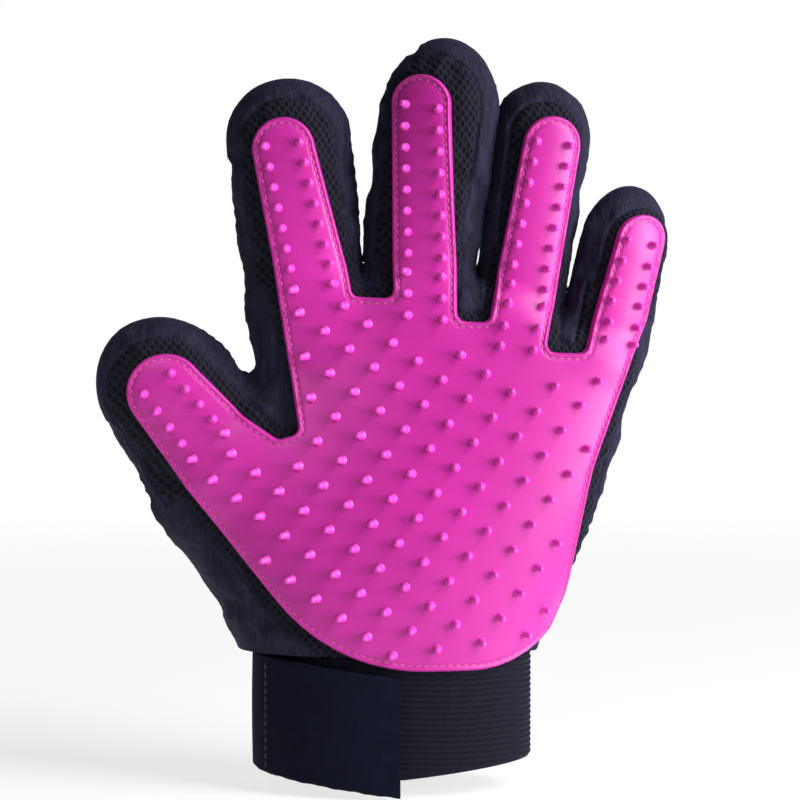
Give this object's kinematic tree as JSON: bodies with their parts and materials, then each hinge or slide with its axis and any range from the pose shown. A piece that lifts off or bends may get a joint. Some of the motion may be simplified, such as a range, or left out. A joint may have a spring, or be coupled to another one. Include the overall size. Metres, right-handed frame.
{
  "type": "pet grooming glove",
  "caption": "Left-hand five-finger grooming glove: silicone palm pad covered in short nubs, mesh and knit body, ribbed elastic cuff and a hook-and-loop wrist strap.",
  "frame": {"origin": "centre of the wrist opening at the height of the cuff's lowest edge", "axes": "+Z towards the fingertips, -Y the palm side that carries the nubs, +X towards the little finger"},
  "size_m": [0.1815, 0.0556, 0.2407],
  "materials": {
    "silicone": "satin, translucent at the edges",
    "air_mesh": "matte knitted mesh with oval holes",
    "back_mesh": "matte knitted mesh",
    "side_knit": "soft brushed knit",
    "elastic": "ribbed elastic webbing",
    "tape": "flat binding tape",
    "loop_pile": "looped pile",
    "strap_velour": "smooth brushed velour",
    "hook_plastic": "fine moulded hooks",
    "thread": "polyester thread"
  },
  "bodies": {
    "palm": {"palm_front_panel": "air_mesh", "palm_back_panel": "back_mesh", "palm_side_strips": "side_knit", "palm_pad": "silicone", "cuff_elastic": "elastic", "cuff_seam_tape": "tape", "cuff_loop_patch": "loop_pile", "strap_sewn_end": "strap_velour", "strap_stitches": "thread"},
    "thumb_base": {"thumb_base_front_panel": "air_mesh", "thumb_base_back_panel": "back_mesh", "thumb_base_side_strip": "side_knit", "thumb_base_pad": "silicone"},
    "thumb_tip": {"thumb_tip_front_panel": "air_mesh", "thumb_tip_back_panel": "back_mesh", "thumb_tip_side_strip": "side_knit", "thumb_tip_pad": "silicone"},
    "index_base": {"index_base_front_panel": "air_mesh", "index_base_back_panel": "back_mesh", "index_base_side_strip": "side_knit", "index_base_pad": "silicone"},
    "index_tip": {"index_tip_front_panel": "air_mesh", "index_tip_back_panel": "back_mesh", "index_tip_side_strip": "side_knit", "index_tip_pad": "silicone"},
    "middle_base": {"middle_base_front_panel": "air_mesh", "middle_base_back_panel": "back_mesh", "middle_base_side_strip": "side_knit", "middle_base_pad": "silicone"},
    "middle_tip": {"middle_tip_front_panel": "air_mesh", "middle_tip_back_panel": "back_mesh", "middle_tip_side_strip": "side_knit", "middle_tip_pad": "silicone"},
    "ring_base": {"ring_base_front_panel": "air_mesh", "ring_base_back_panel": "back_mesh", "ring_base_side_strip": "side_knit", "ring_base_pad": "silicone"},
    "ring_tip": {"ring_tip_front_panel": "air_mesh", "ring_tip_back_panel": "back_mesh", "ring_tip_side_strip": "side_knit", "ring_tip_pad": "silicone"},
    "little_base": {"little_base_front_panel": "air_mesh", "little_base_back_panel": "back_mesh", "little_base_side_strip": "side_knit", "little_base_pad": "silicone"},
    "little_tip": {"little_tip_front_panel": "air_mesh", "little_tip_back_panel": "back_mesh", "little_tip_side_strip": "side_knit", "little_tip_pad": "silicone"},
    "strap_inner": {"strap_inner_length": "strap_velour"},
    "strap_end": {"strap_end_length": "strap_velour", "strap_hook_patch": "hook_plastic"}
  },
  "joints": [
    {"name": "thumb_base_flex", "type": "hinge", "parent": "palm", "child": "thumb_base", "pos_m": [-0.05494, -0.01669, 0.10426], "axis": [0.7934, 0, 0.6088], "range_deg": [0, 45], "stiffness_Nm_per_rad": 0.06},
    {"name": "thumb_tip_flex", "type": "hinge", "parent": "thumb_base", "child": "thumb_tip", "pos_m": [-0.07105, -0.01611, 0.12526], "axis": [0.7934, 0, 0.6088], "range_deg": [0, 60], "stiffness_Nm_per_rad": 0.04},
    {"name": "index_base_flex", "type": "hinge", "parent": "palm", "child": "index_base", "pos_m": [-0.02851, -0.01488, 0.16403], "axis": [0.9932, 0, 0.1167], "range_deg": [0, 60], "stiffness_Nm_per_rad": 0.06},
    {"name": "index_tip_flex", "type": "hinge", "parent": "index_base", "child": "index_tip", "pos_m": [-0.03235, -0.01661, 0.19676], "axis": [0.9932, 0, 0.1167], "range_deg": [0, 75], "stiffness_Nm_per_rad": 0.04},
    {"name": "middle_base_flex", "type": "hinge", "parent": "palm", "child": "middle_base", "pos_m": [0.00829, -0.01631, 0.1682], "axis": [0.9912, 0, -0.1323], "range_deg": [0, 60], "stiffness_Nm_per_rad": 0.06},
    {"name": "middle_tip_flex", "type": "hinge", "parent": "middle_base", "child": "middle_tip", "pos_m": [0.01352, -0.01839, 0.2074], "axis": [0.9912, 0, -0.1323], "range_deg": [0, 75], "stiffness_Nm_per_rad": 0.04},
    {"name": "ring_base_flex", "type": "hinge", "parent": "palm", "child": "ring_base", "pos_m": [0.0417, -0.01424, 0.16463], "axis": [0.9921, 0, -0.1253], "range_deg": [0, 60], "stiffness_Nm_per_rad": 0.06},
    {"name": "ring_tip_flex", "type": "hinge", "parent": "ring_base", "child": "ring_tip", "pos_m": [0.04583, -0.01597, 0.19733], "axis": [0.9921, 0, -0.1253], "range_deg": [0, 75], "stiffness_Nm_per_rad": 0.04},
    {"name": "little_base_flex", "type": "hinge", "parent": "palm", "child": "little_base", "pos_m": [0.06844, -0.01065, 0.15378], "axis": [0.9767, 0, -0.2147], "range_deg": [0, 60], "stiffness_Nm_per_rad": 0.06},
    {"name": "little_tip_flex", "type": "hinge", "parent": "little_base", "child": "little_tip", "pos_m": [0.07269, -0.01168, 0.17309], "axis": [0.9767, 0, -0.2147], "range_deg": [0, 75], "stiffness_Nm_per_rad": 0.04},
    {"name": "strap_open", "type": "hinge", "parent": "palm", "child": "strap_inner", "pos_m": [-0.0388, -0.01416, 0.019], "axis": [0, 0, -1], "range_deg": [0, 120]},
    {"name": "strap_peel", "type": "hinge", "parent": "strap_inner", "child": "strap_end", "pos_m": [-0.018, -0.02454, 0.019], "axis": [0, 0, -1], "range_deg": [0, 60]}
  ]
}
